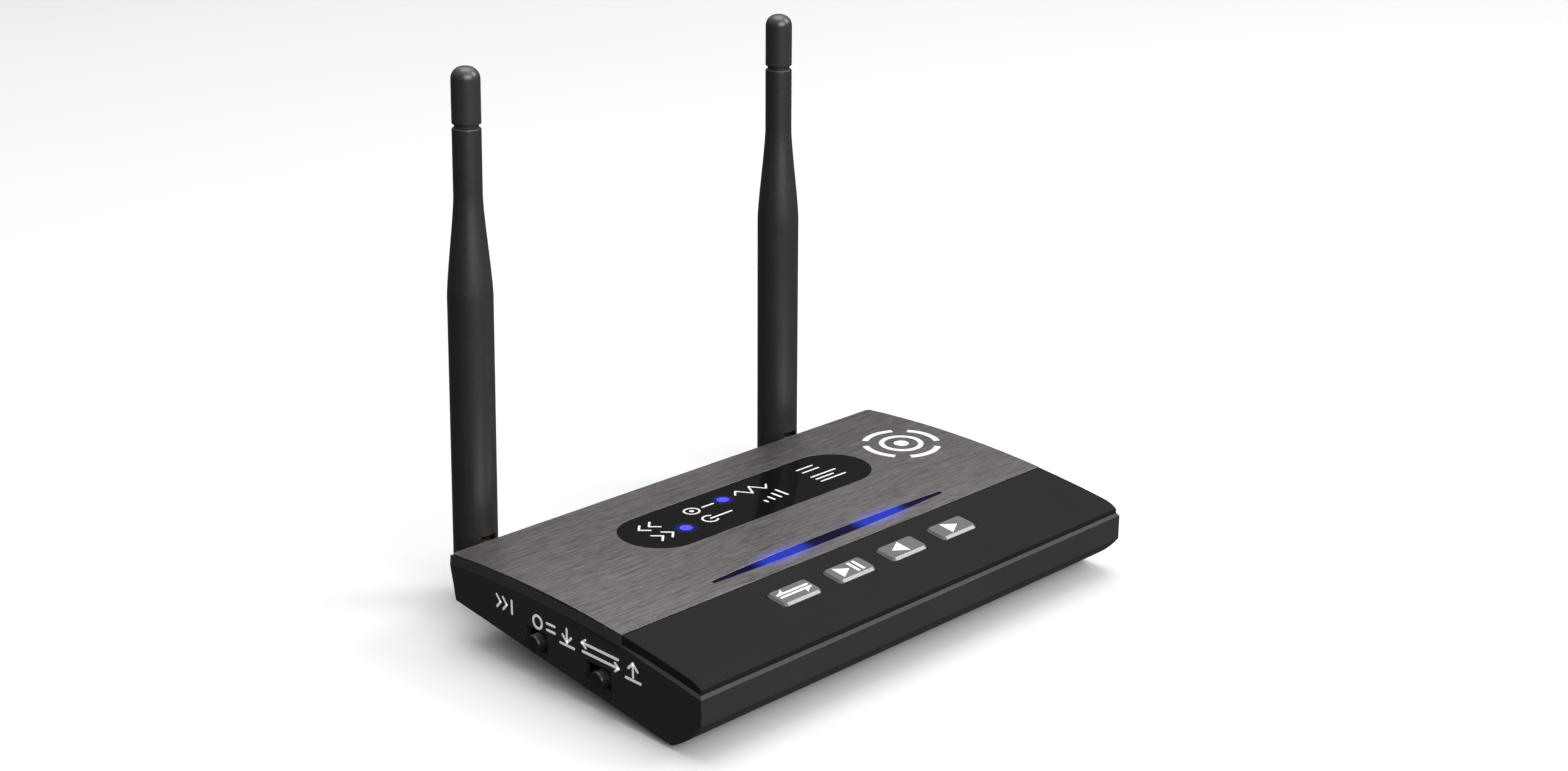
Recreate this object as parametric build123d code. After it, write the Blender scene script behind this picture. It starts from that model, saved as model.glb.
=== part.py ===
from build123d import *
import math
import os

# A flat desktop radio box for sound, with two hinged antennas on its back. Millimetres.
# X runs from left to right, Y from the front to the back and Z up.
# The origin is on the table, under the middle of the whole object's width and depth.
# The nodes are built about the middle of the box and moved to the origin as they are written,
# because the side switches' knobs stand out on the left only.
# A "depth" is counted from the front face, and a "drop" is measured down from the crowned top.

# Driving dimensions
body_width = 125.0
antenna_depth = 89.8
sleeve_radius = 4.8
wall = 1.6
foot_height = 1.0
fit_gap = 0.15

# The crowned top: one arc from front to back
crown_radius = 300.0
crown_height = 20.0
crown_depth = 51.0

# Side profile
fold_height = 7.8
keel_depth = 8.2
rear_foot_depth = 74.0
rear_foot_height = 9.2
rear_lean = 0.192
belly_rear_depth = 71.0
belly_half_width = 47.0
belly_flare = 6.0

# Layers, as drops from the crowned top
plate_thickness = 0.5
window_thickness = 1.2
split_drop = 2.4
rim_step = 0.55
panel_drop = split_drop - rim_step
joint_depth = 22.4
plate_rear_depth = 75.3
seam = 0.05
joint_gap = 0.15

# Status window and light bar
window_depth = 52.45
window_half_straight = 25.1
window_radius = 9.35
window_ledge = 1.4
bar_depth = 27.3
bar_half_length = 34.1
bar_half_width = 1.42
bar_end_half_width = 0.5
bar_drop = 4.0

# Front buttons
button_pitch = 15.6
button_row_x = -1.0
button_depth = 14.1
button_length = 10.9
button_width = 5.7
button_corner = 1.2
button_proud = 0.6
button_edge = 0.5
panel_roll_length = 3.0
panel_roll_radius = 6.4
panel_side_edge = 0.25
button_names = ["mode", "play", "back", "forward"]
stem_radius = 1.4
post_bottom = 14.9

# Boards
board_thickness = 1.6
main_board_bottom = 4.4
main_board_top = main_board_bottom + board_thickness
control_board_bottom = 10.6
control_board_top = control_board_bottom + board_thickness

# Side switches
knob_radius = 1.95
knob_proud = 2.0
knob_edge = 0.45
power_depth = 46.6
power_height = 9.2
power_travel = 2.5
mode_depth = 27.5
mode_height = 8.0
mode_travel = 3.6

# Antennas
jack_x = 45.4
jack_height = 10.0
left_lean = 1.8
right_lean = 0.4
taper_start_height = 66.6
taper_end_height = 88.4
thin_radius = 3.02
groove_height = 102.1
tip_height = 114.6
ear_gap = 1.95
tongue_half = 1.8
pin_radius = 1.0
thread_radius = 3.1
seat_depth = 70.9
jack_tail_depth = 65.4
nut_depth = 76.2
coupling_depth = 78.7
coupling_end = 84.5

half_width = body_width / 2
overall_depth = antenna_depth + sleeve_radius
front = -overall_depth / 2
crown_y = front + crown_depth
crown_z = crown_height - crown_radius
beyond = 90.0
to_origin = Pos(knob_proud / 2, 0, 0)


def y_at(depth):
    return front + depth


def crown_at(y, drop=0.0):
    """Height of the crowned top at y, less a drop measured along the crown's radius."""
    radius = crown_radius - drop
    return crown_z + math.sqrt(radius**2 - (y - crown_y) ** 2)


def block(x, y, z):
    """A box from three (low, high) ranges."""
    centre = ((x[0] + x[1]) / 2, (y[0] + y[1]) / 2, (z[0] + z[1]) / 2)
    return Pos(*centre) * Box(x[1] - x[0], y[1] - y[0], z[1] - z[0])


def post(x, y, z, radius):
    """An upright cylinder over a (low, high) range of z."""
    return Pos(x, y, (z[0] + z[1]) / 2) * Cylinder(radius, z[1] - z[0])


def rod_y(x, y, z, radius):
    """A cylinder along Y over a (low, high) range of y."""
    return Pos(x, (y[0] + y[1]) / 2, z) * Rot(90, 0, 0) * Cylinder(radius, y[1] - y[0])


def rod_x(x, y, z, radius):
    """A cylinder along X over a (low, high) range of x."""
    return Pos((x[0] + x[1]) / 2, y, z) * Rot(0, 90, 0) * Cylinder(radius, x[1] - x[0])


def hex_y(x, y, z, across_flats):
    """A hexagonal bar along Y."""
    outline = RegularPolygon(across_flats / 2, 6, major_radius=False)
    bar = extrude(outline, y[1] - y[0])
    return Pos(x, y[1], z) * Rot(90, 0, 0) * bar


def at_depths(low, high, reach=beyond):
    """Everything between two depths."""
    return block((-reach, reach), (y_at(low), y_at(high)), (-reach, reach))


def under_crown(drop):
    left = (-beyond, crown_at(-beyond, drop))
    middle = (0, crown_at(0, drop))
    right = (beyond, crown_at(beyond, drop))
    outline = Curve() + [
        ThreePointArc(left, middle, right),
        Polyline(right, (beyond, -30), (-beyond, -30), left),
    ]
    return extrude(make_face(Plane.YZ * outline), body_width, both=True)


def crown_layer(top_drop, bottom_drop):
    return under_crown(top_drop) - under_crown(bottom_drop)


def crowned_band(bottom_drop, top_drop, bottom_half, top_half):
    """A slab that follows the crown, with its two sides leaning in towards the top."""
    low = crown_height - bottom_drop
    high = crown_height - top_drop
    section = Polyline(
        (-bottom_half, low),
        (bottom_half, low),
        (top_half, high),
        (-top_half, high),
        close=True,
    )
    axis = Axis((0, crown_y, crown_z), (1, 0, 0))
    face = Pos(0, crown_y, 0) * (Plane.XZ * make_face(section))
    swing = 24
    return revolve(face.rotate(axis, -swing / 2), axis, swing)


def rear_depth_at(height):
    """Depth of the leaning back wall at a height."""
    return rear_foot_depth + rear_lean * (height - rear_foot_height)


def side_block(inset):
    """The box's side profile without the belly, moved in by inset on every side."""
    high = 30.0
    keel = (y_at(keel_depth), foot_height)
    fold = (y_at(0), fold_height)
    bulge = (y_at(keel_depth / 2 - 0.45), (foot_height + fold_height) / 2 - 0.5)
    rear_foot = (y_at(rear_foot_depth), rear_foot_height)
    rear_top = (y_at(rear_depth_at(high)), high)
    outline = Curve() + [
        ThreePointArc(keel, bulge, fold),
        Polyline(fold, (y_at(0), high), rear_top, rear_foot, keel),
    ]
    face = make_face(Plane.YZ * outline)
    if inset:
        face = offset(face, -inset, kind=Kind.INTERSECTION)
    return extrude(face, half_width - inset, both=True)


def belly(inset):
    """The flat base that hangs under the rising side edges."""
    top = 14.0
    profile = Plane.YZ * Polyline(
        (y_at(keel_depth), foot_height),
        (y_at(belly_rear_depth), foot_height),
        (y_at(rear_foot_depth), rear_foot_height),
        (y_at(rear_depth_at(top)), top),
        (y_at(keel_depth + 4), top),
        close=True,
    )
    slope = belly_flare / (rear_foot_height - foot_height)
    top_half = belly_half_width + slope * (top - foot_height)
    section = Plane.XZ * Polyline(
        (-belly_half_width, foot_height),
        (belly_half_width, foot_height),
        (top_half, top),
        (-top_half, top),
        close=True,
    )
    faces = [make_face(profile), make_face(section)]
    if inset:
        faces = [offset(face, -inset, kind=Kind.INTERSECTION) for face in faces]
    return extrude(faces[0], body_width, both=True) & extrude(faces[1], body_width, both=True)


def window_prism(shrink=0.0):
    length = 2 * (window_half_straight + window_radius - shrink)
    outline = SlotOverall(length, 2 * (window_radius - shrink))
    return Pos(0, y_at(window_depth), -10) * extrude(outline, 60)


def bar_prism(shrink=0.0):
    """The slit: two shallow arcs that narrow to blunt ends."""
    half = bar_half_length - shrink
    rise = bar_half_width - shrink
    end = bar_end_half_width - shrink
    outline = Curve() + [
        ThreePointArc((-half, end), (0, rise), (half, end)),
        Line((half, end), (half, -end)),
        ThreePointArc((half, -end), (0, -rise), (-half, -end)),
        Line((-half, -end), (-half, end)),
    ]
    return Pos(0, y_at(bar_depth), -10) * extrude(make_face(outline), 60)


def button_x(index):
    return button_row_x + (index - 1.5) * button_pitch


def button_prism(index, grow):
    outline = RectangleRounded(button_length + 2 * grow, button_width + 2 * grow, button_corner + grow)
    return Pos(button_x(index), y_at(button_depth), -10) * extrude(outline, 60)


# Where things stand, as (x, depth), and their sizes, as (length, depth, height)
control_posts = [(x, depth) for x in (-50, 50) for depth in (8, 53)]
main_posts = [(x, depth) for x in (-29, 29) for depth in (16, 54)]
case_screw_places = [(x, depth) for x in (-38, 38) for depth in (29, 61.5)]
foot_places = [(x, depth) for x in (-43, 43) for depth in (14, 66.5)]
foot_radius = 3.5
foot_recess = 0.5
post_radius = 2.5
thread_hole = 1.02
shank_radius = 1.0
head_radius = 2.0
boss_radius = 2.8
boss_bottom = 6.0
case_head_radius = 2.4
case_head_top = 3.4
case_shank_radius = 1.25
case_screw_top = 13.0
lamp_columns = [-20.6 + 16.2 * column for column in range(4)]
lamp_rows = [49.9, 55.9]
bar_lamps_x = [-14.5, 14.5]
radio_depth = 38.0
coax_plug_x = 11.0
touch_x = 48.4
touch_depth = 52.1
socket_rear = 75.4
optical_x = [-26.0, -14.0]
optical_size = 9.6
optical_length = 13.4
optical_port = 6.2
audio_jack_x = [0.0, 12.0]
audio_jack_height = 8.95
audio_bore = 1.8
audio_barrel = 2.9
power_socket_x = 24.5
power_socket_height = 7.7

power_shell_size = (9.0, 3.3, 7.6)
power_inner_size = (8.4, 2.7, 6.4)
power_tongue_size = (6.6, 0.7, 6.2)
audio_body_size = (6.4, 11.0, 5.4)
audio_body_depth = 65.4
audio_bore_length = 12.5
chips = [
    (-17, 27, (7, 7, 1)),
    (13, 27, (6, 6, 1)),
    (-16, 49, (5, 4.4, 1.2)),
    (22, 50, (4, 3, 1.1)),
]
can_places = [(-25, 27), (-25, 33.5), (20, 24), (20, 30.5), (2, 52), (10, 52)]
can_radius = 2.4
can_height = 3.9
crystal_size = (3.2, 2.5, 0.8)
radio_board_size = (15, 11.5, 0.8)
radio_shield_size = (12, 9, 1.8)
lamp_size = (1.6, 0.8, 0.7)
bar_lamp_size = (3.0, 1.4, 0.9)
coil_outer_radius = 8.6
coil_inner_radius = 5.6

nodes = {}


def lower_body():
    """The outer form under the split line, with the bevelled rim round the front panel."""
    under_panel = under_crown(panel_drop) & at_depths(-beyond, joint_depth)
    outer = side_block(0) + belly(0)
    form = outer & (under_crown(split_drop) + under_panel)
    edges = []
    for edge in form.edges():
        middle = edge.center()
        on_side = abs(abs(middle.X) - half_width) < 0.01
        above_split = middle.Z > crown_at(middle.Y, split_drop - rim_step / 2)
        before_joint = middle.Y < y_at(joint_depth) - 1
        if above_split and before_joint and (on_side or abs(middle.Y - front) < 0.01):
            edges.append(edge)
    return chamfer(edges, rim_step)


def bottom_shell():
    form = lower_body()
    shell = form - (side_block(wall) + belly(wall))
    inside = side_block(wall / 2) + belly(wall / 2)
    for x, depth in control_posts:
        shell += post(x, y_at(depth), (0, control_board_bottom), post_radius) & inside
    for x, depth in main_posts:
        shell += post(x, y_at(depth), (0, main_board_bottom), post_radius) & inside
    for x, depth in case_screw_places:
        shell += post(x, y_at(depth), (foot_height + wall / 2, boss_bottom), boss_radius + 0.6)
    for x in (-jack_x, jack_x):
        shell += rod_y(x, (y_at(seat_depth), y_at(nut_depth)), jack_height, 4.2)
        shell -= rod_y(x, (y_at(seat_depth - 2), y_at(nut_depth + 2)), jack_height, thread_radius + 0.1)
    for x, depth in control_posts:
        shell -= post(x, y_at(depth), (control_board_bottom - 2.2, control_board_bottom + 1), thread_hole)
    for x, depth in main_posts:
        shell -= post(x, y_at(depth), (foot_height + wall, main_board_bottom + 1), thread_hole)
    for x, depth in case_screw_places:
        shell -= post(x, y_at(depth), (0, boss_bottom + 1), case_shank_radius + fit_gap)
        shell -= post(x, y_at(depth), (0, case_head_top), case_head_radius + 0.2)
    for x, depth in foot_places:
        shell -= post(x, y_at(depth), (0, foot_height + foot_recess), foot_radius)
    for x in optical_x:
        half = optical_size / 2 + 0.1
        middle = main_board_top + optical_size / 2
        shell -= block((x - half, x + half), (y_at(68), y_at(80)), (middle - half, middle + half))
    for x in audio_jack_x:
        shell -= rod_y(x, (y_at(68), y_at(80)), audio_jack_height, audio_barrel + 0.1)
    slot = extrude(SlotOverall(9.3, 3.6), 12)
    shell -= Pos(power_socket_x, y_at(80), power_socket_height) * Rot(90, 0, 0) * slot
    for depth, height, low, high in switch_windows():
        reach = knob_radius + 0.2
        shell -= block(
            (-half_width - 1, -half_width + wall + 0.05),
            (y_at(depth + low) - reach, y_at(depth + high) + reach),
            (height - reach, height + reach),
        )
    return shell


def switch_windows():
    """Depth and height of each side switch at rest, and how far it goes each way."""
    power = (power_depth, power_height, 0.0, power_travel)
    mode = (mode_depth, mode_height, 0.0, mode_travel)
    return [power, mode]


def band_half(drop):
    """Half width of the cover and plate at a drop, where the sides lean in."""
    return half_width - rim_step * (1 - drop / split_drop)


def top_cover():
    slab = crowned_band(split_drop, plate_thickness, half_width, band_half(plate_thickness))
    cover = slab & side_block(0) & at_depths(joint_depth + joint_gap, beyond)
    tongue = side_block(wall + fit_gap) - side_block(wall + 1.0 + fit_gap)
    tongue &= crown_layer(split_drop, split_drop + 1.6)
    cover += tongue & at_depths(joint_depth + 2, 44)
    for x, depth in case_screw_places:
        boss = post(x, y_at(depth), (boss_bottom, 30), boss_radius)
        cover += boss & under_crown(plate_thickness + 0.6)
        cover -= post(x, y_at(depth), (0, case_screw_top + 1), case_shank_radius)
    cover -= window_prism(-seam) & crown_layer(0, window_thickness)
    cover -= window_prism(window_ledge)
    cover -= bar_prism()
    return cover


def rounded_rear(half, depth, radius):
    """An upright prism up to a depth, with its two rear corners rounded."""
    length = 2 * depth
    outline = RectangleRounded(2 * half, length, radius)
    return Pos(0, y_at(depth) - length / 2, -10) * extrude(outline, 60)


def metal_plate():
    plate = crowned_band(plate_thickness, 0, band_half(plate_thickness), band_half(0))
    plate &= at_depths(joint_depth + joint_gap, plate_rear_depth)
    plate &= rounded_rear(band_half(plate_thickness), plate_rear_depth, 1.2)
    return plate - window_prism() - bar_prism()


def is_on_crown(edge, slack):
    middle = edge.center()
    return middle.Z > crown_at(middle.Y, slack)


def above_roll():
    """What the panel's rolled front edge leaves out: an arc that meets the crown smoothly."""
    start = y_at(rim_step + panel_roll_length)
    ratio = 1 - panel_roll_radius / crown_radius
    centre_y = crown_y + (start - crown_y) * ratio
    centre_z = crown_z + (crown_at(start) - crown_z) * ratio
    before = block((-beyond, beyond), (y_at(-1), start), (centre_z, beyond))
    return before - rod_x((-beyond, beyond), centre_y, centre_z, panel_roll_radius)


def front_panel():
    half = half_width - rim_step
    panel = crowned_band(panel_drop, 0, half, half) & at_depths(rim_step, joint_depth - joint_gap)
    panel -= above_roll()
    tops = [edge for edge in panel.edges() if is_on_crown(edge, 0.5)]
    sides = [edge for edge in tops if abs(abs(edge.center().X) - half) < 0.01]
    panel = fillet(sides, panel_side_edge)
    for index in range(len(button_names)):
        panel -= button_prism(index, fit_gap)
    return panel


def button_cap(index):
    body = button_prism(index, 0) & crown_layer(-button_proud, split_drop)
    top_edges = [edge for edge in body.edges() if is_on_crown(edge, -button_proud / 2)]
    body = chamfer(top_edges, button_edge)
    flange = button_prism(index, 0.7) & crown_layer(panel_drop + 0.1, panel_drop + 0.7)
    foot = post(button_x(index), y_at(button_depth), (post_bottom, 16), 1.8)
    return body + flange + (foot & under_crown(panel_drop + 0.3))


def button_nodes():
    holders = []
    for index, name in enumerate(button_names):
        x = button_x(index)
        y = y_at(button_depth)
        nodes["button_" + name] = button_cap(index)
        nodes["switch_stem_" + name] = post(x, y, (control_board_top + 1.1, post_bottom), stem_radius)
        holder = block((x - 2.6, x + 2.6), (y - 2.6, y + 2.6), (control_board_top, control_board_top + 1.7))
        holders.append(holder - post(x, y, (control_board_top + 0.4, 20), stem_radius + 0.08))
    nodes["button_switches"] = Compound(holders)


def side_knob(depth, height):
    tip = -half_width - knob_proud
    root = -half_width + wall - 0.3
    peg = rod_x((tip, root), y_at(depth), height, knob_radius)
    rim = [edge for edge in peg.edges() if edge.center().X < tip + 0.01]
    peg = fillet(rim, knob_edge)
    neck = block((root, -59.6), (y_at(depth) - 0.7, y_at(depth) + 0.7), (height - 0.6, height + 0.6))
    return peg + neck


def side_switch_case(depth, height, low, high):
    """The slide switch under the control board, with a groove that its slider runs in."""
    middle = y_at(depth + (low + high) / 2)
    groove_low = y_at(depth + low) - 0.8
    groove_high = y_at(depth + high) + 0.8
    case = block((-60.5, -55.0), (middle - 4.4, middle + 4.4), (height - 0.95, control_board_bottom))
    groove = block((-61, -59.5), (groove_low, groove_high), (height - 0.7, height + 0.7))
    return case - groove


def side_switch_nodes():
    for name, (depth, height, low, high) in zip(["power", "input"], switch_windows()):
        nodes[name + "_switch_knob"] = side_knob(depth, height)
        nodes[name + "_switch_case"] = side_switch_case(depth, height, low, high)


def screw(x, depth, seat, length):
    """A pan head screw from above, its head resting at seat."""
    y = y_at(depth)
    head = post(x, y, (seat, seat + 1.1), head_radius)
    head = fillet(head.edges().group_by(Axis.Z)[-1], 0.4)
    head -= block((x - 1.2, x + 1.2), (y - 0.25, y + 0.25), (seat + 0.6, seat + 2))
    head -= block((x - 0.25, x + 0.25), (y - 1.2, y + 1.2), (seat + 0.6, seat + 2))
    return head + post(x, y, (seat - length, seat), shank_radius)


def case_screw(x, depth):
    """A countersunk screw from below, its head in the base's recess."""
    y = y_at(depth)
    bottom = case_head_top - 1.6
    head = post(x, y, (bottom, case_head_top), case_head_radius)
    head -= block((x - 1.5, x + 1.5), (y - 0.3, y + 0.3), (bottom - 1, bottom + 0.8))
    head -= block((x - 0.3, x + 0.3), (y - 1.5, y + 1.5), (bottom - 1, bottom + 0.8))
    return head + post(x, y, (case_head_top, case_screw_top), case_shank_radius)


def rubber_foot(x, depth):
    pad = post(x, y_at(depth), (0, foot_height + foot_recess), foot_radius)
    return fillet(pad.edges().group_by(Axis.Z)[0], 0.4)


def control_board():
    board = block((-60.3, 60.3), (y_at(2.6), y_at(58)), (control_board_bottom, control_board_top))
    board = fillet(board.edges().filter_by(Axis.Z), 2)
    for x, depth in control_posts:
        board -= post(x, y_at(depth), (0, 30), shank_radius + 0.15)
    for x, depth in case_screw_places:
        board -= post(x, y_at(depth), (0, 30), boss_radius + 0.4)
    return board


def main_board():
    board = block((-33, 33), (y_at(10.8), y_at(69)), (main_board_bottom, main_board_top))
    board = fillet(board.edges().filter_by(Axis.Z), 1.5)
    for x, depth in main_posts:
        board -= post(x, y_at(depth), (0, 30), shank_radius + 0.15)
    return board


def on_board(x, depth, size, board_top):
    """A box standing on a board, from its middle, its length, depth and height."""
    y = y_at(depth)
    return block(
        (x - size[0] / 2, x + size[0] / 2),
        (y - size[1] / 2, y + size[1] / 2),
        (board_top, board_top + size[2]),
    )


def lamp_well():
    """The light guide under the window, with one well over each indicator lamp."""
    well = window_prism(window_ledge + 0.2) & under_crown(window_thickness)
    well &= block((-beyond, beyond), (-beyond, beyond), (control_board_top, 30))
    for x in lamp_columns:
        for depth in lamp_rows:
            well -= post(x, y_at(depth), (0, 30), 1.5)
    return well


def optical_socket(x):
    low = main_board_top
    size = (optical_size, optical_length, optical_size)
    body = on_board(x, socket_rear - optical_length / 2, size, low)
    middle = low + optical_size / 2
    half = optical_port / 2
    across = (x - half, x + half)
    return body - block(across, (y_at(socket_rear - 8), y_at(80)), (middle - half, middle + half))


def audio_jack(x):
    body = on_board(x, audio_body_depth, audio_body_size, main_board_top)
    barrel = rod_y(x, (y_at(70), y_at(socket_rear)), audio_jack_height, audio_barrel)
    bore = rod_y(x, (y_at(socket_rear - audio_bore_length), y_at(80)), audio_jack_height, audio_bore)
    return body + barrel - bore


def power_socket():
    outer = extrude(SlotOverall(power_shell_size[0], power_shell_size[1]), power_shell_size[2])
    inner = extrude(SlotOverall(power_inner_size[0], power_inner_size[1]), power_inner_size[2])
    shell = outer - inner + Pos(0, 0, 3.6) * Box(*power_tongue_size)
    return Pos(power_socket_x, y_at(74.4), power_socket_height) * Rot(90, 0, 0) * shell


def board_nodes():
    top = main_board_top
    nodes["main_board"] = main_board()
    nodes["control_board"] = control_board()
    nodes["audio_chips"] = Compound([on_board(x, d, size, top) for x, d, size in chips])
    cans = [post(x, y_at(d), (top, top + can_height), can_radius) for x, d in can_places]
    nodes["capacitors"] = Compound(cans)
    nodes["crystal"] = on_board(0, 27, crystal_size, top)
    nodes["board_link"] = block((-9, 9), (y_at(13), y_at(16.2)), (top, control_board_bottom))
    nodes["radio_board"] = on_board(0, radio_depth, radio_board_size, top)
    nodes["radio_shield"] = on_board(0, radio_depth, radio_shield_size, top + radio_board_size[2])
    lamps = [on_board(x, d, lamp_size, control_board_top) for x in lamp_columns for d in lamp_rows]
    nodes["indicator_lamps"] = Compound(lamps)
    wide = [on_board(x, bar_depth, bar_lamp_size, control_board_top) for x in bar_lamps_x]
    nodes["bar_lamps"] = Compound(wide)
    nodes["lamp_well"] = lamp_well()
    ring = post(touch_x, y_at(touch_depth), (0, 30), coil_outer_radius)
    ring -= post(touch_x, y_at(touch_depth), (0, 30), coil_inner_radius)
    nodes["touch_coil"] = ring & crown_layer(split_drop, split_drop + 0.4)
    nodes["optical_in"] = optical_socket(optical_x[0])
    nodes["optical_out"] = optical_socket(optical_x[1])
    nodes["audio_in_jack"] = audio_jack(audio_jack_x[0])
    nodes["audio_out_jack"] = audio_jack(audio_jack_x[1])
    nodes["power_socket"] = power_socket()
    board_screws = [screw(x, d, control_board_top, 3.6) for x, d in control_posts]
    board_screws += [screw(x, d, main_board_top, 3.2) for x, d in main_posts]
    nodes["board_screws"] = Compound(board_screws)


def housing_nodes():
    nodes["bottom_shell"] = bottom_shell()
    nodes["top_cover"] = top_cover()
    nodes["metal_plate"] = metal_plate()
    nodes["front_panel"] = front_panel()
    nodes["status_window"] = window_prism(seam) & crown_layer(0, window_thickness)
    nodes["light_bar"] = bar_prism(seam) & crown_layer(seam, bar_drop)
    nodes["case_screws"] = Compound([case_screw(x, d) for x, d in case_screw_places])
    nodes["rubber_feet"] = Compound([rubber_foot(x, d) for x, d in foot_places])


# Each antenna is built upright with its hinge pin at the origin, then leaned and put in place.


def antenna_sleeve():
    taper_start = taper_start_height - jack_height
    taper_end = taper_end_height - jack_height
    neck = groove_height - jack_height
    outline = Polyline((0, 0), (sleeve_radius, 0), (sleeve_radius, taper_start))
    outline = Curve() + [
        outline,
        Spline(
            (sleeve_radius, taper_start),
            (thin_radius, taper_end),
            tangents=((0, 1), (0, 1)),
            tangent_scalars=(0.6, 0.6),
        ),
        Polyline((thin_radius, taper_end), (thin_radius, neck), (0, neck), (0, 0)),
    ]
    upper = revolve(make_face(Plane.XZ * outline), Axis.Z, 360)
    rim = [edge for edge in upper.edges() if edge.center().Z > neck - 0.01]
    upper = fillet(rim, 0.3)
    lower = post(0, 0, (-sleeve_radius, 0), sleeve_radius) & rod_x((-9, 9), 0, 0, sleeve_radius)
    sleeve = upper + lower
    sleeve -= block((-ear_gap, ear_gap), (-9, 9), (-9, 5.0))
    sleeve -= rod_x((-9, 9), 0, 0, pin_radius)
    return sleeve - post(0, 0, (6.5, neck + 1), 2.2)


def antenna_cap():
    low = groove_height - jack_height
    high = tip_height - jack_height
    barrel = post(0, 0, (low + 0.8, high), thin_radius)
    barrel = fillet(barrel.edges().group_by(Axis.Z)[-1], 2.6)
    barrel = fillet(barrel.edges().group_by(Axis.Z)[0], 0.25)
    groove = post(0, 0, (low, low + 0.8), 2.55)
    plug = post(0, 0, (low - 5, low), 2.15)
    return barrel + groove + plug


def antenna_radiator():
    return post(0, 0, (8, 32), 1.9) + post(0, 0, (32, groove_height - jack_height - 5.5), 0.6)


def antenna_knuckle():
    """The swivel: a flanged shaft held in the coupling nut, and a tongue round the hinge pin."""
    root = coupling_end + 0.1 - antenna_depth
    tongue = block((-tongue_half, tongue_half), (root, 0), (-2.2, 2.2))
    tongue += rod_x((-tongue_half, tongue_half), 0, 0, 4.4)
    shaft = rod_y(0, (root - 0.7, root + 0.3), 0, 2.2)
    flange = rod_y(0, (root - 1.55, root - 0.7), 0, 3.0)
    return tongue + shaft + flange - rod_x((-9, 9), 0, 0, pin_radius + 0.05)


def hinge_pin():
    length = math.sqrt(sleeve_radius**2 - pin_radius**2) - 0.1
    return rod_x((-length, length), 0, 0, pin_radius)


def antenna_jack(x):
    """The threaded jack through the back wall, with its flange inside."""
    end = coupling_end - 1.7
    jack = rod_y(x, (y_at(seat_depth), y_at(end)), jack_height, thread_radius)
    jack += rod_y(x, (y_at(seat_depth - 2), y_at(seat_depth)), jack_height, 3.9)
    jack += rod_y(x, (y_at(jack_tail_depth), y_at(seat_depth - 2)), jack_height, 2.0)
    return jack - rod_y(x, (y_at(end - 5), y_at(end + 1)), jack_height, 2.2)


def jack_nut(x):
    nut = hex_y(x, (y_at(nut_depth), y_at(nut_depth + 2.2)), jack_height, 7.8)
    return nut - rod_y(x, (y_at(nut_depth - 1), y_at(nut_depth + 3)), jack_height, thread_radius)


def coupling_nut(x):
    """The nut that holds the antenna on its jack, with a lip round the swivel's shaft."""
    span = (y_at(coupling_depth), y_at(coupling_end))
    nut = rod_y(x, span, jack_height, 4.2) & hex_y(x, span, jack_height, 7.8)
    nut -= rod_y(x, (y_at(coupling_depth - 1), y_at(coupling_end - 0.5)), jack_height, thread_radius)
    return nut - rod_y(x, (y_at(coupling_end - 1), y_at(coupling_end + 1)), jack_height, 2.26)


def coax_lead(x):
    """A thin lead from the jack, under the control board, to its plug beside the radio board."""
    side = math.copysign(1, x)
    points = [
        (x, y_at(jack_tail_depth), jack_height),
        (x, y_at(43), 8.4),
        (side * (coax_plug_x + 1.45), y_at(radio_depth), 6.7),
    ]
    path = FilletPolyline(*points, radius=10)
    start = Plane(origin=path @ 0, z_dir=path % 0)
    return sweep(start * Circle(0.55), path)


def antenna_nodes(side, x, lean):
    to_place = Pos(x, y_at(antenna_depth), jack_height) * Rot(0, lean, 0)
    nodes["antenna_sleeve_" + side] = to_place * antenna_sleeve()
    nodes["antenna_cap_" + side] = to_place * antenna_cap()
    nodes["antenna_radiator_" + side] = to_place * antenna_radiator()
    nodes["antenna_knuckle_" + side] = to_place * antenna_knuckle()
    nodes["hinge_pin_" + side] = to_place * hinge_pin()
    nodes["antenna_jack_" + side] = antenna_jack(x)
    nodes["jack_nut_" + side] = jack_nut(x)
    nodes["coupling_nut_" + side] = coupling_nut(x)
    nodes["coax_lead_" + side] = coax_lead(x)
    plug_x = math.copysign(coax_plug_x, x)
    nodes["coax_plug_" + side] = post(plug_x, y_at(radio_depth), (main_board_top, main_board_top + 1.4), 1.3)


housing_nodes()
button_nodes()
side_switch_nodes()
board_nodes()
antenna_nodes("left", -jack_x, left_lean)
antenna_nodes("right", jack_x, right_lean)

os.makedirs("parts", exist_ok=True)
for name, shape in nodes.items():
    export_step(to_origin * shape, "parts/" + name + ".step")
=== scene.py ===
import math

import bpy
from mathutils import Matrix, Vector


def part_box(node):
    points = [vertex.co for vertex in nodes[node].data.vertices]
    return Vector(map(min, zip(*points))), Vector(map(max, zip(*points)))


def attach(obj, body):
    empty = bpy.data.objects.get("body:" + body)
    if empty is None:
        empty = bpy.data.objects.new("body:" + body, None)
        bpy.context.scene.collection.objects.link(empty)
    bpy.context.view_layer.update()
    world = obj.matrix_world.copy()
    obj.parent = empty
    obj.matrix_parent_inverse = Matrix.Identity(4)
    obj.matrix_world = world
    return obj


# A desktop bluetooth audio receiver: its finishes, its printed marks, and the studio around it.
# Lengths are in metres, apart from the drawings of marks, which are in millimetres.

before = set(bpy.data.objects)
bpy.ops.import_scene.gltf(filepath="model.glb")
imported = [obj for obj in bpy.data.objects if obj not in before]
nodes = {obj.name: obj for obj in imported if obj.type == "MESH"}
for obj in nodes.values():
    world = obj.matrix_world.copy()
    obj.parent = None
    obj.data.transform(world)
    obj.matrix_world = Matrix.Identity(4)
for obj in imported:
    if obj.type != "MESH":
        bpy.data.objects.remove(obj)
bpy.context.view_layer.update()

mm = 0.001

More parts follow.
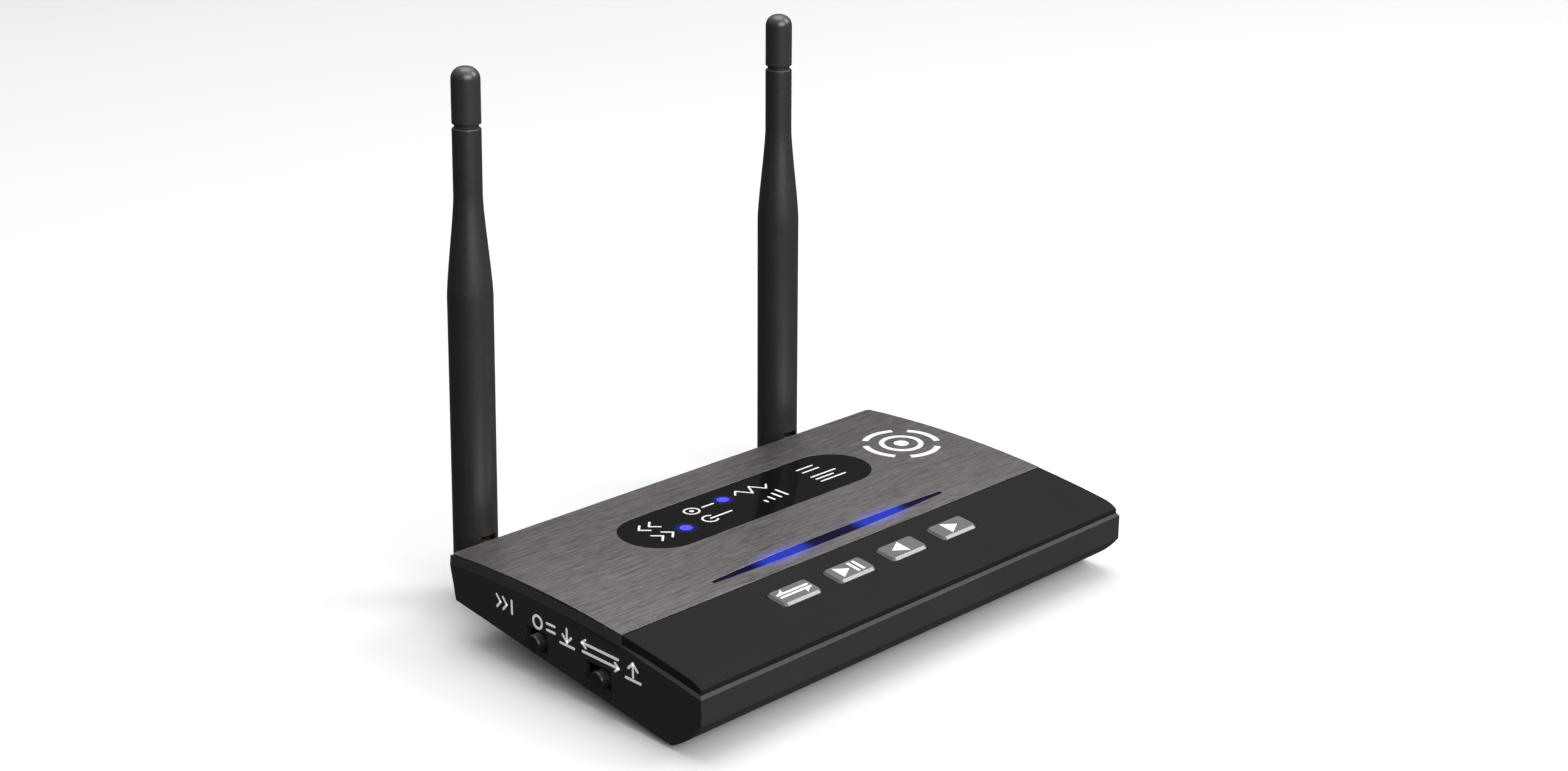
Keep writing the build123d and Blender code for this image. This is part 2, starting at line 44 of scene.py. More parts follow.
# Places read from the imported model
shell_low, shell_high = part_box("bottom_shell")
bar_low, bar_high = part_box("light_bar")
lamps_low, lamps_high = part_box("indicator_lamps")
bar_lamps_low, bar_lamps_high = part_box("bar_lamps")
coil_low, coil_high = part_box("touch_coil")
middle_x = (shell_low.x + shell_high.x) / 2

# The crowned top is one arc from front to back, and the buttons stand a little proud of it
body_height = 0.020
crown_from_front = 0.051
crown_radius = 0.300
crown_y = shell_low.y + crown_from_front
crown_z = body_height - crown_radius
button_proud = 0.0006

# The indicator lamps stand in four columns and two rows, and two of them are lit
lamp_half = 0.0008
lamp_column_count = 4
lamp_span = lamps_high.x - lamps_low.x - 2 * lamp_half
lamp_columns = [
    lamps_low.x + lamp_half + column * lamp_span / (lamp_column_count - 1)
    for column in range(lamp_column_count)
]
lamp_rows = [lamps_low.y + lamp_half / 2, lamps_high.y - lamp_half / 2]
lit_lamps = [(lamp_columns[0], lamp_rows[0]), (lamp_columns[1], lamp_rows[1])]

# The light bar glows over its first and last lamps
bar_lamp_half = 0.0015
bar_y = (bar_low.y + bar_high.y) / 2
bar_glows = [bar_lamps_low.x + bar_lamp_half, bar_lamps_high.x - bar_lamp_half]


# Colours


def linear(value):
    """One channel of an sRGB colour, as linear light."""
    return value / 12.92 if value <= 0.04045 else ((value + 0.055) / 1.055) ** 2.4


def colour(red, green, blue):
    """A colour from its 0 to 255 display values."""
    return tuple(linear(part / 255) for part in (red, green, blue)) + (1.0,)


def shaded(tone, factor):
    """A tone made darker or paler, with each channel kept within 1."""
    return tuple(min(1.0, part * factor) for part in tone[:3]) + (1.0,)


white = (1.0, 1.0, 1.0, 1.0)
blue_light = (0.026, 0.052, 0.62, 1.0)
lamp_light = (0.058, 0.062, 0.80, 1.0)


# Shader nodes


def new_material(name):
    material = bpy.data.materials.new(name)
    material.use_nodes = True
    return material, material.node_tree, material.node_tree.nodes["Principled BSDF"]


def add(tree, kind, inputs=None, **settings):
    """A new node, with its inputs set to numbers or joined to other nodes' outputs."""
    made = tree.nodes.new(kind)
    for name, value in settings.items():
        setattr(made, name, value)
    for name, value in (inputs or {}).items():
        if isinstance(value, bpy.types.NodeSocket):
            tree.links.new(value, made.inputs[name])
        else:
            made.inputs[name].default_value = value
    return made


def object_coordinates(tree, stretch=None):
    place = add(tree, "ShaderNodeTexCoord").outputs["Object"]
    if stretch is None:
        return place
    return add(tree, "ShaderNodeMapping", {"Vector": place, "Scale": stretch}).outputs["Vector"]


def noise(tree, place, scale, detail=3.0, roughness=0.55):
    inputs = {"Vector": place, "Scale": scale, "Detail": detail, "Roughness": roughness}
    return add(tree, "ShaderNodeTexNoise", inputs).outputs["Fac"]


def spread(tree, value, low, high, start=0.3, end=0.7):
    """A value that runs from start to end, stretched to run from low to high."""
    inputs = {"Value": value, "From Min": start, "From Max": end, "To Min": low, "To Max": high}
    return add(tree, "ShaderNodeMapRange", inputs).outputs["Result"]


def between(tree, value, first, second):
    """A colour between two others. The mix node's colour sockets share their names."""
    factor, colour_a, colour_b, result = 0, 6, 7, 2
    made = add(tree, "ShaderNodeMix", data_type="RGBA")
    tree.links.new(value, made.inputs[factor])
    made.inputs[colour_a].default_value = first
    made.inputs[colour_b].default_value = second
    return made.outputs[result]


def sum_of(tree, first, second):
    return add(tree, "ShaderNodeMath", {0: first, 1: second}, operation="ADD").outputs[0]


def softened(tree, radius, height, distance):
    """A normal with its edges rounded off, and a bump from a height."""
    normal = add(tree, "ShaderNodeBevel", {"Radius": radius}, samples=6).outputs["Normal"]
    inputs = {"Height": height, "Distance": distance, "Strength": 1.0, "Normal": normal}
    return add(tree, "ShaderNodeBump", inputs).outputs["Normal"]


def spot(tree, place, centre, reach, level_from):
    """A soft spot: 0 at its reach, rising to 1 at the share level_from of the way in."""
    inputs = {"Vector": place, "Location": centre, "Scale": reach}
    moved = add(tree, "ShaderNodeMapping", inputs, vector_type="TEXTURE").outputs["Vector"]
    ball = add(tree, "ShaderNodeTexGradient", {"Vector": moved}, gradient_type="SPHERICAL")
    inputs = {"Value": ball.outputs["Fac"], "From Min": 0.0, "From Max": level_from}
    smooth = add(tree, "ShaderNodeMapRange", inputs, interpolation_type="SMOOTHSTEP")
    return smooth.outputs["Result"]


def lit_spots(tree, place, centres, reach, strength, level_from=1.0, base=0.0):
    """The summed light of several spots, for an emission strength."""
    total = base
    for x, y in centres:
        value = spot(tree, place, (x, y, body_height), reach, level_from)
        total = sum_of(tree, total, spread(tree, value, 0.0, strength, 0.0, 1.0))
    return total


# Materials


def finish(
    name,
    tone,
    roughness,
    grain=2600.0,
    depth=0.000008,
    mottle=0.12,
    rough_spread=0.07,
    edge=0.00015,
    metallic=0.0,
    coat=0.0,
    shine=0.5,
    glow=0.0,
    stretch=None,
):
    """A solid finish with fine grain in its bump, and slow changes in its colour and roughness."""
    slow_scale = 60.0
    coat_roughness = 0.08
    material, tree, shader = new_material(name)
    plain = object_coordinates(tree)
    fine = noise(tree, object_coordinates(tree, stretch), grain, detail=4.0)
    slow = noise(tree, plain, slow_scale)
    tone_out = between(tree, slow, shaded(tone, 1 - mottle), shaded(tone, 1 + mottle))
    tree.links.new(tone_out, shader.inputs["Base Color"])
    rough = spread(tree, fine, roughness - rough_spread, roughness + rough_spread)
    tree.links.new(rough, shader.inputs["Roughness"])
    tree.links.new(softened(tree, edge, fine, depth), shader.inputs["Normal"])
    shader.inputs["Metallic"].default_value = metallic
    shader.inputs["Specular IOR Level"].default_value = shine
    shader.inputs["Coat Weight"].default_value = coat
    shader.inputs["Coat Roughness"].default_value = coat_roughness
    shader.inputs["Emission Color"].default_value = white
    shader.inputs["Emission Strength"].default_value = glow
    return material


def brushed_metal():
    """Dark anodised aluminium brushed from side to side, with the bar's light spilling on it."""
    tone = colour(136, 130, 131)
    darkest, palest = 0.55, 1.25
    long_streaks = (90.0, 2600.0, 2600.0)
    short_streaks = (300.0, 4200.0, 4200.0)
    streak_range = {"low": 0.0, "high": 0.5, "start": 0.35, "end": 0.6}
    patch_scale = 24.0

    material, tree, shader = new_material("BrushedPlate")
    place = object_coordinates(tree)
    streaks = noise(
        tree, object_coordinates(tree, long_streaks), scale=1.0, detail=4.0, roughness=0.7
    )
    short = noise(
        tree, object_coordinates(tree, short_streaks), scale=1.0, detail=3.0, roughness=0.6
    )
    patches = noise(tree, place, patch_scale, detail=2.0)
    lines = sum_of(
        tree, spread(tree, streaks, **streak_range), spread(tree, short, **streak_range)
    )
    brushed = between(tree, lines, shaded(tone, darkest), shaded(tone, palest))
    tree.links.new(brushed, shader.inputs["Base Color"])
    rough = sum_of(
        tree,
        spread(tree, lines, low=0.30, high=0.42, start=0.0, end=1.0),
        spread(tree, patches, low=-0.03, high=0.03),
    )
    tree.links.new(rough, shader.inputs["Roughness"])
    normal = softened(tree, radius=0.00012, height=lines, distance=0.000006)
    tree.links.new(normal, shader.inputs["Normal"])
    shader.inputs["Metallic"].default_value = 1.0
    shader.inputs["Anisotropic"].default_value = 0.55
    tangent = add(tree, "ShaderNodeTangent", direction_type="RADIAL", axis="X").outputs["Tangent"]
    tree.links.new(tangent, shader.inputs["Tangent"])
    halos = lit_spots(
        tree, place, [(x, bar_y) for x in bar_glows], reach=(0.0125, 0.0042, 1.0), strength=0.75
    )
    tree.links.new(halos, shader.inputs["Emission Strength"])
    shader.inputs["Emission Color"].default_value = blue_light
    return material


def status_glass():
    """Dark gloss plastic that the two lit lamps shine through."""
    material, tree, shader = new_material("StatusWindow")
    place = object_coordinates(tree)
    smears = noise(tree, place, scale=180.0, detail=4.0, roughness=0.6)
    dark = between(tree, smears, colour(13, 13, 14), colour(18, 18, 19))
    tree.links.new(dark, shader.inputs["Base Color"])
    tree.links.new(spread(tree, smears, low=0.05, high=0.13), shader.inputs["Roughness"])
    normal = softened(tree, radius=0.0001, height=smears, distance=0.000002)
    tree.links.new(normal, shader.inputs["Normal"])
    shader.inputs["Specular IOR Level"].default_value = 0.03
    halos = lit_spots(tree, place, lit_lamps, reach=(0.0031, 0.0031, 1.0), strength=0.55)
    tree.links.new(halos, shader.inputs["Emission Strength"])
    shader.inputs["Emission Color"].default_value = blue_light
    return material


def light_bar():
    """A dark blue diffuser with two bright stretches over its lamps."""
    material, tree, shader = new_material("LightBar")
    place = object_coordinates(tree)
    cloud = noise(tree, place, scale=300.0)
    deep = between(tree, cloud, (0.003, 0.002, 0.012, 1.0), (0.005, 0.004, 0.024, 1.0))
    tree.links.new(deep, shader.inputs["Base Color"])
    tree.links.new(spread(tree, cloud, low=0.2, high=0.3), shader.inputs["Roughness"])
    light = lit_spots(
        tree, place, [(x, bar_y) for x in bar_glows], reach=(0.0094, 0.009, 1.0), strength=0.8,
        level_from=0.55, base=0.008,
    )
    tree.links.new(light, shader.inputs["Emission Strength"])
    shader.inputs["Specular IOR Level"].default_value = 0.02
    shader.inputs["Emission Color"].default_value = blue_light
    return material


def lit_lamp():
    """The bright spot of a lamp, seen through the window."""
    material, tree, shader = new_material("LampLight")
    cloud = noise(tree, object_coordinates(tree), scale=1500.0, detail=2.0)
    shader.inputs["Base Color"].default_value = (0.02, 0.02, 0.2, 1.0)
    tree.links.new(spread(tree, cloud, low=0.9, high=1.1), shader.inputs["Emission Strength"])
    shader.inputs["Emission Color"].default_value = lamp_light
    shader.inputs["Roughness"].default_value = 0.12
    return material


def board_finish():
    """Green solder mask over a faint net of copper tracks."""
    material, tree, shader = new_material("CircuitBoard")
    net = {
        "Vector": object_coordinates(tree), "Scale": 160.0, "Mortar Size": 0.05,
        "Mortar Smooth": 0.2,
    }
    tracks = add(tree, "ShaderNodeTexBrick", net).outputs["Fac"]
    green = between(tree, tracks, (0.006, 0.10, 0.035, 1.0), (0.02, 0.19, 0.07, 1.0))
    tree.links.new(green, shader.inputs["Base Color"])
    normal = softened(tree, radius=0.0001, height=tracks, distance=0.00003)
    tree.links.new(normal, shader.inputs["Normal"])
    shader.inputs["Roughness"].default_value = 0.35
    return material


housing_plastic = finish(
    "HousingPlastic", colour(54, 54, 55), 0.46, grain=2400.0, depth=0.000012, shine=0.3
)
cover_plastic = finish(
    "CoverPlastic", colour(58, 57, 56), 0.44, grain=2400.0, depth=0.00001, shine=0.35
)
panel_plastic = finish(
    "PanelPlastic", colour(38, 38, 38), 0.5, grain=3200.0, depth=0.000006, shine=0.03
)
button_plastic = finish(
    "ButtonPlastic", colour(82, 82, 82), 0.3, grain=3000.0, depth=0.000001, mottle=0.05,
    rough_spread=0.03, edge=0.00005, coat=0.6, shine=1.0,
)
switch_plastic = finish(
    "SwitchPlastic", colour(30, 30, 30), 0.3, grain=3000.0, depth=0.000003, shine=0.8
)
stem_plastic = finish("StemPlastic", colour(205, 205, 200), 0.4)
antenna_rubber = finish(
    "AntennaRubber", colour(43, 43, 44), 0.42, grain=2200.0, depth=0.00001, mottle=0.15, shine=1.0
)
cap_plastic = finish(
    "AntennaCap", colour(54, 54, 55), 0.34, grain=3000.0, depth=0.000004, shine=1.0
)
foot_rubber = finish("FootRubber", colour(38, 38, 38), 0.7, grain=1500.0, depth=0.00002)
steel = finish(
    "ZincSteel", colour(190, 190, 192), 0.32, grain=1.0, depth=0.000004, mottle=0.1, metallic=1.0,
    stretch=(900.0, 900.0, 4000.0),
)
gold_brass = finish(
    "GoldBrass", colour(222, 180, 100), 0.22, grain=1600.0, depth=0.0000006, mottle=0.05,
    rough_spread=0.04, metallic=1.0,
)
chip_plastic = finish("ChipPlastic", colour(30, 30, 31), 0.5, grain=4000.0, depth=0.00001)
can_aluminium = finish(
    "CanAluminium", colour(205, 205, 208), 0.28, grain=800.0, depth=0.000004, metallic=1.0
)
lamp_plastic = finish(
    "LampPlastic", colour(225, 230, 238), 0.2, grain=1200.0, depth=0.000002, coat=0.4
)
guide_plastic = finish("GuidePlastic", colour(228, 228, 226), 0.45)
copper = finish(
    "Copper", colour(202, 122, 86), 0.3, grain=1200.0, depth=0.000004, metallic=1.0
)
lead_jacket = finish("LeadJacket", colour(40, 40, 41), 0.45, grain=1800.0, depth=0.000006)
white_print = finish(
    "WhitePrint", colour(236, 236, 236), 0.5, grain=3500.0, depth=0.000003, mottle=0.03
)
# The side faces away from the lights, so its print has a faint glow that keeps it white
side_print = finish(
    "SidePrint", colour(250, 250, 250), 0.5, grain=3500.0, depth=0.000003, mottle=0.02, glow=0.22
)

sides = ("left", "right")
buttons = ("mode", "play", "back", "forward")


def with_endings(starts, endings):
    """Node names such as jack_nut_left, from the names' starts and endings."""
    return [start + "_" + ending for start in starts for ending in endings]


paints = [
    (housing_plastic, ["bottom_shell"]),
    (cover_plastic, ["top_cover"]),
    (brushed_metal(), ["metal_plate"]),
    (panel_plastic, ["front_panel"]),
    (status_glass(), ["status_window"]),
    (light_bar(), ["light_bar"]),
    (button_plastic, with_endings(["button"], buttons)),
    (switch_plastic, with_endings(["power_switch", "input_switch"], ("knob", "case"))),
    (
        switch_plastic,
        ["button_switches", "board_link"]
        + ["optical_in", "optical_out", "audio_in_jack", "audio_out_jack"],
    ),
    (stem_plastic, with_endings(["switch_stem"], buttons)),
    (antenna_rubber, with_endings(["antenna_sleeve"], sides)),
    (cap_plastic, with_endings(["antenna_cap", "antenna_knuckle"], sides)),
    (foot_rubber, ["rubber_feet"]),
    (steel, ["case_screws", "board_screws", "radio_shield", "power_socket", "crystal"]),
    (steel, with_endings(["hinge_pin"], sides)),
    (gold_brass, with_endings(["antenna_jack", "jack_nut", "coupling_nut"], sides)),
    (gold_brass, with_endings(["coax_plug", "antenna_radiator"], sides)),
    (board_finish(), ["main_board", "control_board", "radio_board"]),
    (chip_plastic, ["audio_chips"]),
    (can_aluminium, ["capacitors"]),
    (lamp_plastic, ["indicator_lamps", "bar_lamps"]),
    (guide_plastic, ["lamp_well"]),
    (copper, ["touch_coil"]),
    (lead_jacket, with_endings(["coax_lead"], sides)),
]
for material, names in paints:
    for name in names:
        for slot in nodes[name].material_slots:
            slot.material = material


# Drawings: flat shapes in millimetres, laid on a surface as thin closed solids


class Drawing:
    """Flat shapes that share one list of points. Faces run anticlockwise."""

    def __init__(self):
        self.points = []
        self.faces = []

    def polygon(self, corners):
        """A flat face, with its corners put in anticlockwise order."""
        twice_area = 0.0
        for (x0, y0), (x1, y1) in zip(corners, corners[1:] + corners[:1]):
            twice_area += x0 * y1 - x1 * y0
        first = len(self.points)
        self.points += corners if twice_area > 0 else reversed(corners)
        self.faces.append(list(range(first, len(self.points))))
        return self

    def rectangle(self, x, y, half_width, half_height):
        return self.polygon([
            (x - half_width, y - half_height), (x + half_width, y - half_height),
            (x + half_width, y + half_height), (x - half_width, y + half_height),
        ])

    def line(self, start, end, width, steps=6):
        """A stroke with round ends."""
        (x0, y0), (x1, y1) = start, end
        heading = math.atan2(y1 - y0, x1 - x0)
        corners = []
        for (x, y), turn in (((x1, y1), -math.pi / 2), ((x0, y0), math.pi / 2)):
            for step in range(steps + 1):
                angle = heading + turn + step * math.pi / steps
                corners.append((x + width / 2 * math.cos(angle), y + width / 2 * math.sin(angle)))
        return self.polygon(corners)

    def disc(self, x, y, radius, sides=40):
        angles = [2 * math.pi * step / sides for step in range(sides)]
        return self.polygon([(x + radius * math.cos(a), y + radius * math.sin(a)) for a in angles])

    def arc(self, x, y, inner, outer, start=0, end=360, steps=40):
        """A curved band from one angle to another, in degrees, or a whole ring."""
        whole = end - start >= 360
        first = len(self.points)
        for step in range(steps if whole else steps + 1):
            angle = math.radians(start + (end - start) * step / steps)
            for radius in (inner, outer):
                self.points.append((x + radius * math.cos(angle), y + radius * math.sin(angle)))
        count = len(self.points) - first
        for step in range(steps):
            inner_a, outer_a, inner_b, outer_b = (
                first + (2 * step + corner) % count for corner in range(4)
            )
            self.faces.append([inner_a, outer_a, outer_b, inner_b])
        return self


def on_crown(proud=0.0):
    """Lays a drawing on the crowned top, or on the buttons that stand proud of it."""
    radius = crown_radius + proud

    def place(u, v, lift):
        x, y = u * mm, v * mm
        return (x, y, crown_z + math.sqrt(radius**2 - (y - crown_y) ** 2) + lift)

    return place


def on_left_side(u, v, lift):
    """Lays a drawing on the box's left side, where u runs to the front and v upwards."""
    return (shell_low.x - lift, -u * mm, v * mm)


def print_mark(name, drawing, place, material, body, proud=0.00004, sunk=0.00002):
    """Makes a drawing into a thin closed solid that rides on a body."""
    count = len(drawing.points)
    vertices = [place(u, v, proud) for u, v in drawing.points]
    vertices += [place(u, v, -sunk) for u, v in drawing.points]
    faces = [list(face) for face in drawing.faces]
    faces += [[index + count for index in reversed(face)] for face in drawing.faces]
    edges = {(a, b) for face in drawing.faces for a, b in zip(face, face[1:] + face[:1])}
    for a, b in sorted(edges):
        if (b, a) not in edges:
            faces.append([a, a + count, b + count, b])
    mesh = bpy.data.meshes.new(name)
    mesh.from_pydata(vertices, [], faces)
    mesh.validate()
    mesh.materials.append(material)
    piece = bpy.data.objects.new(name, mesh)
    bpy.context.scene.collection.objects.link(piece)
    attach(piece, body)


def middle_of(low, high):
    """The middle of a box seen from above, in millimetres."""
    return ((low.x + high.x) / 2 / mm, (low.y + high.y) / 2 / mm)


# The buttons' symbols


def swap_symbol(x, y):
    """Two half arrows that point opposite ways, one under the other."""
    stroke = 0.62
    raised, apart = 0.1, 0.5
    tip_reach, tail_reach = 4.1, 4.0
    nose, barb, neck, barb_width = 0.35, 2.1, 1.5, 1.5
    drawing = Drawing()
    for sign in (-1, 1):
        line_y = y + raised - sign * apart
        tip = x + sign * tip_reach
        drawing.line((x - sign * tail_reach, line_y), (tip, line_y), stroke)
        drawing.polygon([
            (tip + sign * nose, line_y + sign * stroke / 2),
            (tip - sign * barb, line_y - sign * barb_width),
            (tip - sign * neck, line_y + sign * stroke / 2),
        ])
    return drawing


def play_symbol(x, y):
    """A play triangle, then two pause bars."""
    left, right, half_height = -3.3, 0.1, 1.95
    bar_places, bar_half_width, bar_half_height = (1.15, 2.6), 0.4, 1.8
    drawing = Drawing()
    drawing.polygon([(x + left, y - half_height), (x + right, y), (x + left, y + half_height)])
    for offset in bar_places:
        drawing.rectangle(x + offset, y, bar_half_width, bar_half_height)
    return drawing


def triangle_symbol(x, y, sign):
    """A triangle that points left or right."""
    shift, back, nose, half_height = -0.5, 1.2, 2.4, 2.0
    x += shift
    return Drawing().polygon([
        (x - sign * back, y - half_height), (x + sign * nose, y),
        (x - sign * back, y + half_height),
    ])


def back_symbol(x, y):
    return triangle_symbol(x, y, -1)


def forward_symbol(x, y):
    return triangle_symbol(x, y, 1)


def button_marks():
    """One symbol on each button, which it rides on."""
    for title, button, symbol in (
        ("MarkMode", "button_mode", swap_symbol),
        ("MarkPlay", "button_play", play_symbol),
        ("MarkBack", "button_back", back_symbol),
        ("MarkForward", "button_forward", forward_symbol),
    ):
        drawing = symbol(*middle_of(*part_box(button)))
        print_mark(title, drawing, on_crown(button_proud), white_print, button)


# The marks on the window, the touch spot and the left side


def chevrons(drawing, x, y, heading):
    """Two arrowheads, one after the other."""
    tip_reach, back, half_height, stroke = 0.8, 1.7, 1.75, 0.5
    for offset in (-1.5, 1.3):
        tip = (x + offset + heading * tip_reach, y)
        for side in (-1, 1):
            drawing.line((tip[0] - heading * back, y + side * half_height), tip, stroke)


def window_marks():
    """A group of plain signs to the left of each column of lamps."""
    lower_row, upper_row = (row / mm for row in lamp_rows)
    columns = [column / mm for column in lamp_columns]
    lower, upper = lower_row + 0.1, upper_row - 0.1
    stroke = 0.5
    marks = Drawing()

    # Chevrons that point out and in
    x = columns[0] - 5.6
    chevrons(marks, x, upper, -1)
    chevrons(marks, x, lower, 1)

    # A ring with a dot, and an open ring, each with a dash
    x = columns[1] - 9.2
    ring_inner, ring_outer, ring_dot, dash_end = 1.45, 1.9, 0.55, 6.2
    marks.arc(x, upper, ring_inner, ring_outer)
    marks.disc(x, upper, ring_dot, sides=24)
    marks.line((x + 3.1, upper), (x + dash_end, upper), stroke)
    marks.arc(x, lower, ring_inner, ring_outer, start=40, end=320, steps=36)
    marks.line((x + 0.2, lower), (x + dash_end, lower), stroke)

    # A zigzag, and four bars that grow
    x = columns[2] - 12.6
    zigzag = [(0.0, 0.0), (1.6, 1.75), (3.6, -1.75), (5.6, 1.75), (7.6, -1.75), (9.2, 0.0)]
    for (x0, y0), (x1, y1) in zip(zigzag, zigzag[1:]):
        marks.line((x + x0, upper + y0), (x + x1, upper + y1), 0.46)
    bar_foot, bar_height, bar_stroke = lower_row - 1.7, 0.9, 0.6
    first_bar, bar_step = 2.4, 2.0
    for bar in range(4):
        at = x + first_bar + bar * bar_step
        marks.line((at, bar_foot), (at, bar_foot + bar_height + bar * bar_height), bar_stroke)

    # Two lines over three
    x = columns[3] - 9.6
    for offset in (0.9, -1.1):
        marks.line((x + 0.6, upper_row + offset), (x + 5.4, upper_row + offset), stroke)
    for offset, length in ((1.7, 7.4), (0.1, 5.2), (-1.5, 7.4)):
        marks.line((x, lower_row + offset), (x + length, lower_row + offset), stroke)
    print_mark("MarksWindow", marks, on_crown(), white_print, "housing")


def touch_mark():
    """A plain target: a dot in two rings, the outer one broken in four."""
    x, y = middle_of(coil_low, coil_high)
    dot = 1.75
    ring_inner, ring_outer = 3.9, 5.15
    broken_inner, broken_outer = 7.7, 9.2
    quarter, first_gap, half_gap = 90, 45, 12
    target = Drawing().disc(x, y, dot)
    target.arc(x, y, ring_inner, ring_outer, steps=64)
    for turn in range(4):
        start = first_gap + turn * quarter + half_gap
        end = start + quarter - 2 * half_gap
        target.arc(x, y, broken_inner, broken_outer, start, end, steps=20)
    print_mark("MarkTouch", target, on_crown(), white_print, "housing")


def side_marks():
    """Signs over the two side switches: on and off, then receive, pass through and send."""
    stroke, thin_stroke = 0.55, 0.5
    knob_half = 1.95
    power_u = -(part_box("power_switch_knob")[0].y / mm + knob_half)
    input_u = -(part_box("input_switch_knob")[0].y / mm + knob_half)
    marks = Drawing()

    # On: two chevrons against a bar
    on_u, on_v = power_u - 10.9, 13.7
    post_u, post_foot, post_top = on_u + 2.2, 12.3, 15.1
    marks.line((post_u, post_foot), (post_u, post_top), stroke)
    chevron_length, chevron_half = 1.2, 1.3
    for offset in (-2.6, -0.6):
        tip = (on_u + offset + chevron_length, on_v)
        for side in (-1, 1):
            marks.line((on_u + offset, on_v + side * chevron_half), tip, thin_stroke)

    # Off: a ring and two dashes
    off_u, off_v = power_u + 1.1, 13.2
    ring_inner, ring_outer = 1.05, 1.6
    dash_start, dash_end = off_u + 1.2, off_u + 3.6
    marks.arc(off_u - 1.7, off_v, ring_inner, ring_outer)
    for height in (12.5, 13.9):
        marks.line((dash_start, height), (dash_end, height), stroke)

    # Receive and send: an arrow down and an arrow up, each over a line
    receive_u, send_u = input_u - 10.7, input_u + 8.7
    near, far, head, half_base = 0.35, 3.2, 1.3, 2.1
    for u, up, foot in ((receive_u, -1, 11.5), (send_u, 1, 10.9)):
        tip, tail = (foot + near, foot + far) if up < 0 else (foot + far, foot + near)
        marks.line((u, tail), (u, tip), stroke)
        for side in (-1, 1):
            marks.line((u, tip), (u + side * head, tip - up * head), stroke)
    for u, height in ((receive_u, 11.2), (send_u, 10.6)):
        marks.line((u - half_base, height), (u + half_base, height), stroke)

    # Pass through: two long arrows that point opposite ways
    through_u = input_u - 0.8
    half_length, tip_reach, head_back, head_half = 5.2, 5.4, 1.1, 0.85
    for height in (11.6, 13.4):
        marks.line((through_u - half_length, height), (through_u + half_length, height), stroke)
    for heading, height in ((-1, 13.4), (1, 11.6)):
        tip = (through_u + heading * tip_reach, height)
        for side in (-1, 1):
            end = (tip[0] - heading * head_back, height + side * head_half)
            marks.line(tip, end, thin_stroke)
    print_mark("MarksSide", marks, on_left_side, side_print, "housing")


def lamp_spots():
    """A bright disc on the window over each lit lamp."""
    radius, proud = 1.35, 0.00003
    material = lit_lamp()
    for index, (x, y) in enumerate(lit_lamps, 1):
        dot = Drawing().disc(x / mm, y / mm, radius, sides=48)
        print_mark(f"LampSpot{index}", dot, on_crown(), material, "housing", proud)


button_marks()
window_marks()
touch_mark()
side_marks()
lamp_spots()


# Floor, lights and camera


def build_floor():
    """A plain pale floor, hidden from bounces and reflections so that dark parts stay dark."""
    half = 9.0
    cloud_scale = 3.0
    mesh = bpy.data.meshes.new("Floor")
    corners = [(-half, -half, 0), (half, -half, 0), (half, half, 0), (-half, half, 0)]
    mesh.from_pydata(corners, [], [(0, 1, 2, 3)])
    floor = bpy.data.objects.new("Floor", mesh)
    bpy.context.scene.collection.objects.link(floor)
    material, tree, shader = new_material("StudioFloor")
    cloud = noise(tree, object_coordinates(tree), cloud_scale, detail=2.0)
    pale = between(tree, cloud, (0.80, 0.80, 0.80, 1.0), (0.84, 0.84, 0.84, 1.0))
    tree.links.new(pale, shader.inputs["Base Color"])
    shader.inputs["Roughness"].default_value = 0.75
    mesh.materials.append(material)
    floor.visible_diffuse = False
    floor.visible_glossy = False


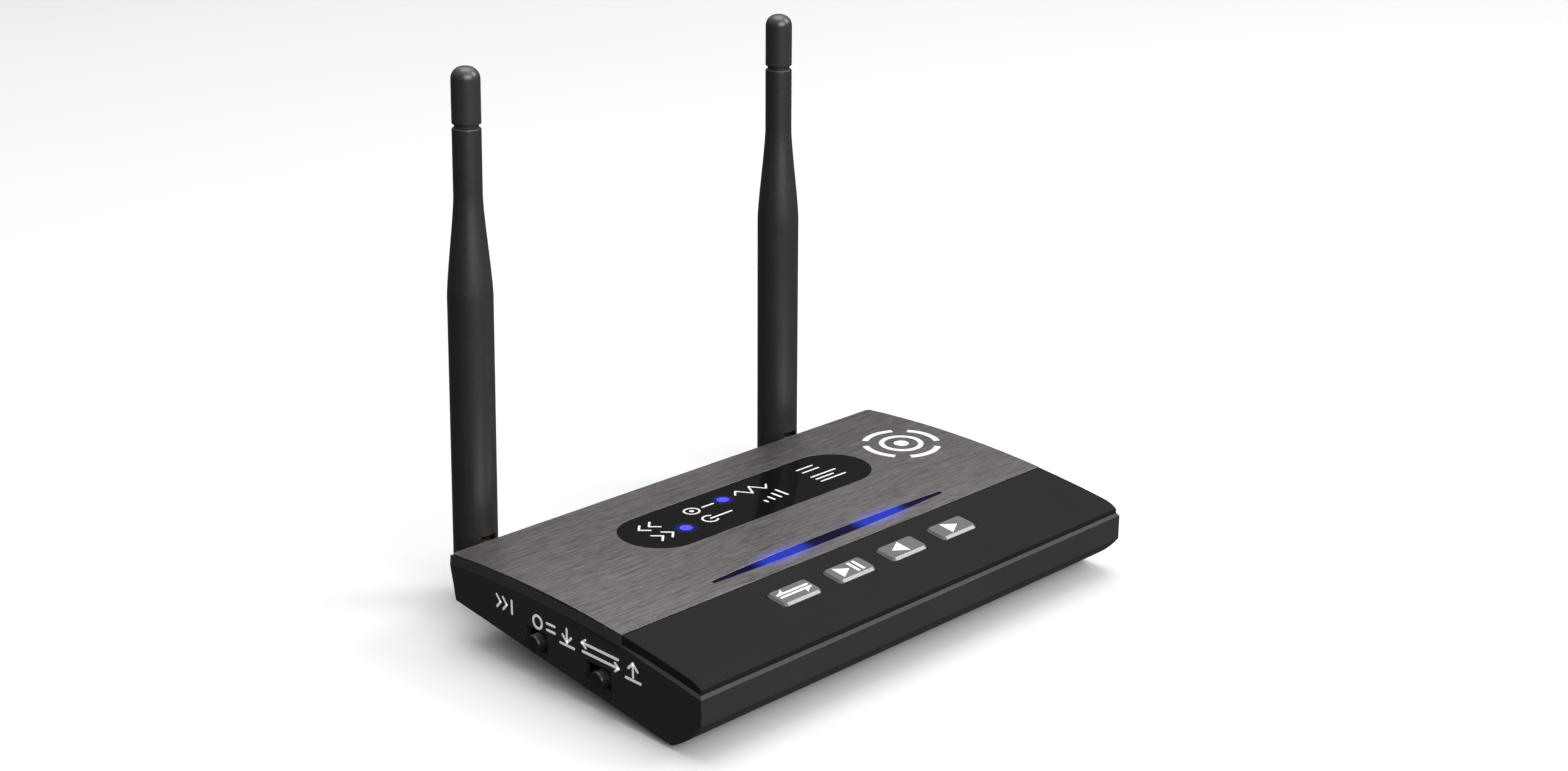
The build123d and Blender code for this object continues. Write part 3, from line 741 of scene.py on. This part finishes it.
def build_light(name, place, size, power):
    target = Vector((0.0, 0.0, 0.03))
    data = bpy.data.lights.new(name, "AREA")
    data.shape = "RECTANGLE"
    data.size, data.size_y = size
    data.energy = power
    light = bpy.data.objects.new(name, data)
    light.location = place
    light.rotation_mode = "QUATERNION"
    aim = target - Vector(place)
    light.rotation_quaternion = aim.to_track_quat("-Z", "Y")
    bpy.context.scene.collection.objects.link(light)


def build_world():
    """White light from all round, brighter overhead and on the right."""
    world = bpy.data.worlds.new("Studio")
    world.use_nodes = True
    tree = world.node_tree
    background = tree.nodes["Background"]
    background.inputs["Color"].default_value = white
    way = add(tree, "ShaderNodeTexCoord").outputs["Generated"]
    parts = add(tree, "ShaderNodeSeparateXYZ", {"Vector": way}).outputs

    def ramp(part, start, end, low, high):
        inputs = {"Value": part, "From Min": start, "From Max": end, "To Min": low, "To Max": high}
        made = add(tree, "ShaderNodeMapRange", inputs, interpolation_type="SMOOTHSTEP")
        return made.outputs["Result"]

    height = ramp(parts["Z"], start=0.15, end=0.75, low=0.1, high=0.85)
    side = ramp(parts["X"], start=-0.9, end=0.5, low=0.3, high=1.0)
    strength = add(tree, "ShaderNodeMath", {0: height, 1: side}, operation="MULTIPLY")
    tree.links.new(strength.outputs[0], background.inputs["Strength"])
    bpy.context.scene.world = world


def build_camera():
    """The camera looks from the left of the front, a little from above."""
    azimuth, elevation = math.radians(-44.764), math.radians(19.06)
    from_middle, place_y, place_z = -0.30228, -0.31046, 0.19672
    back = Vector((
        math.sin(azimuth) * math.cos(elevation),
        -math.cos(azimuth) * math.cos(elevation),
        math.sin(elevation),
    ))
    data = bpy.data.cameras.new("Camera")
    data.sensor_width = 36.0
    data.lens = 50.11
    data.clip_start = 0.01
    data.clip_end = 50.0
    camera = bpy.data.objects.new("Camera", data)
    camera.location = (middle_x + from_middle, place_y, place_z)
    camera.rotation_mode = "QUATERNION"
    camera.rotation_quaternion = (-back).to_track_quat("-Z", "Y")
    bpy.context.scene.collection.objects.link(camera)
    bpy.context.scene.camera = camera


build_floor()
build_world()
build_light("Front", place=(-0.4, -1.45, 0.85), size=(1.5, 0.9), power=20.0)
build_light("Key", place=(1.25, -0.9, 1.2), size=(0.8, 0.8), power=11.0)
build_light("Top", place=(0.2, 0.2, 1.8), size=(1.6, 1.6), power=18.0)
build_camera()
bpy.context.scene.view_settings.view_transform = "Standard"
